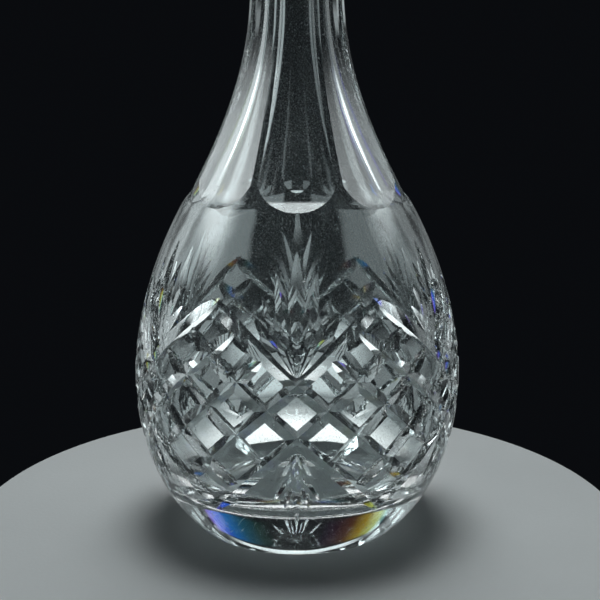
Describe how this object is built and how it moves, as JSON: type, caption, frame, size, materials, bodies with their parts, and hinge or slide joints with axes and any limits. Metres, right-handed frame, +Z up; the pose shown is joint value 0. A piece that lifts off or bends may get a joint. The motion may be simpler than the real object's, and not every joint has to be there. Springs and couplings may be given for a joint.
{
  "type": "cut crystal decanter",
  "caption": "Egg-shaped cut crystal decanter with a fluted neck and a ground-in, facet-cut stopper that lifts out.",
  "frame": {"origin": "middle of the foot, on the surface that the decanter stands on", "axes": "+Z up along the axis of the vessel, -Y towards the front flute of the neck"},
  "size_m": [0.115, 0.115, 0.274],
  "materials": {
    "cut_crystal": "clear polished lead crystal, wheel-cut body and flat-cut neck, ground seat in the mouth",
    "stopper_crystal": "clear polished lead crystal, flat facets, fine ground plug"
  },
  "bodies": {
    "vessel": {"decanter_body": "cut_crystal"},
    "stopper": {"stopper": "stopper_crystal"}
  },
  "joints": [
    {"name": "stopper_lift", "type": "slide", "parent": "vessel", "child": "stopper", "axis": [0, 0, 1], "range_m": [0, 0.06]}
  ]
}
